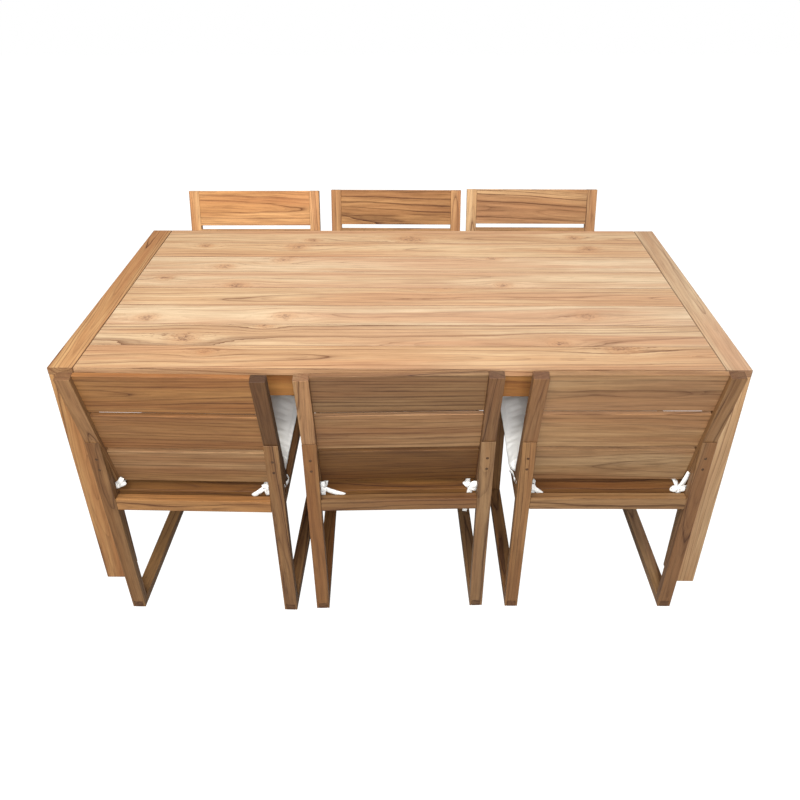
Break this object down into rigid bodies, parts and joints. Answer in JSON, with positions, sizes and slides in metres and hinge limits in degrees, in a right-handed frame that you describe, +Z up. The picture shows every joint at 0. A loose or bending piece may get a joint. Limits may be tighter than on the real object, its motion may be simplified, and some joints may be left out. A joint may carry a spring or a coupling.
{
  "type": "patio dining set",
  "caption": "Wooden patio dining set: a long plank-topped table with square corner legs, and sled-base side chairs with slatted backs and tied seat cushions.",
  "frame": {"origin": "on the ground, under the middle of the whole set", "axes": "+X along the table, +Y across it towards the second row of chairs, +Z up"},
  "size_m": [1.8, 1.4008, 0.841],
  "materials": {
    "table_top_wood": "bare sanded teak planks, honey beige with darker streaks and small knots",
    "table_frame_wood": "bare sanded teak, matt",
    "chair_wood": "bare sanded teak, matt, a little darker than the table top",
    "cushion_cloth": "off-white woven outdoor canvas"
  },
  "bodies": {
    "table": {"top_plank_1": "table_top_wood", "top_plank_2": "table_top_wood", "top_plank_3": "table_top_wood", "top_plank_4": "table_top_wood", "top_plank_5": "table_top_wood", "top_plank_6": "table_top_wood", "top_plank_7": "table_top_wood", "top_plank_8": "table_top_wood", "end_board_left": "table_top_wood", "end_board_right": "table_top_wood", "table_leg_front_left": "table_frame_wood", "table_leg_rear_left": "table_frame_wood", "table_leg_front_right": "table_frame_wood", "table_leg_rear_right": "table_frame_wood", "long_apron_front": "table_frame_wood", "long_apron_rear": "table_frame_wood", "end_apron_left": "table_frame_wood", "end_apron_right": "table_frame_wood", "top_batten_1": "table_frame_wood", "top_batten_2": "table_frame_wood", "top_batten_3": "table_frame_wood"},
    "chair1": {"chair1_left_side": "chair_wood", "chair1_right_side": "chair_wood", "chair1_back": "chair_wood", "chair1_rear_rail": "chair_wood", "chair1_seat": "chair_wood", "chair1_cushion": "cushion_cloth"},
    "chair2": {"chair2_left_side": "chair_wood", "chair2_right_side": "chair_wood", "chair2_back": "chair_wood", "chair2_rear_rail": "chair_wood", "chair2_seat": "chair_wood", "chair2_cushion": "cushion_cloth"},
    "chair3": {"chair3_left_side": "chair_wood", "chair3_right_side": "chair_wood", "chair3_back": "chair_wood", "chair3_rear_rail": "chair_wood", "chair3_seat": "chair_wood", "chair3_cushion": "cushion_cloth"},
    "chair4": {"chair4_left_side": "chair_wood", "chair4_right_side": "chair_wood", "chair4_back": "chair_wood", "chair4_rear_rail": "chair_wood", "chair4_seat": "chair_wood", "chair4_cushion": "cushion_cloth"},
    "chair5": {"chair5_left_side": "chair_wood", "chair5_right_side": "chair_wood", "chair5_back": "chair_wood", "chair5_rear_rail": "chair_wood", "chair5_seat": "chair_wood", "chair5_cushion": "cushion_cloth"},
    "chair6": {"chair6_left_side": "chair_wood", "chair6_right_side": "chair_wood", "chair6_back": "chair_wood", "chair6_rear_rail": "chair_wood", "chair6_seat": "chair_wood", "chair6_cushion": "cushion_cloth"}
  },
  "joints": [
    {"name": "chair1_pull", "type": "slide", "parent": "table", "child": "chair1", "axis": [0, -1, 0], "range_m": [-0.05, 0.45]},
    {"name": "chair2_pull", "type": "slide", "parent": "table", "child": "chair2", "axis": [0, -1, 0], "range_m": [-0.05, 0.45]},
    {"name": "chair3_pull", "type": "slide", "parent": "table", "child": "chair3", "axis": [0, -1, 0], "range_m": [-0.05, 0.45]},
    {"name": "chair4_pull", "type": "slide", "parent": "table", "child": "chair4", "axis": [0, 1, 0], "range_m": [-0.05, 0.45]},
    {"name": "chair5_pull", "type": "slide", "parent": "table", "child": "chair5", "axis": [0, 1, 0], "range_m": [-0.05, 0.45]},
    {"name": "chair6_pull", "type": "slide", "parent": "table", "child": "chair6", "axis": [0, 1, 0], "range_m": [-0.05, 0.45]}
  ]
}
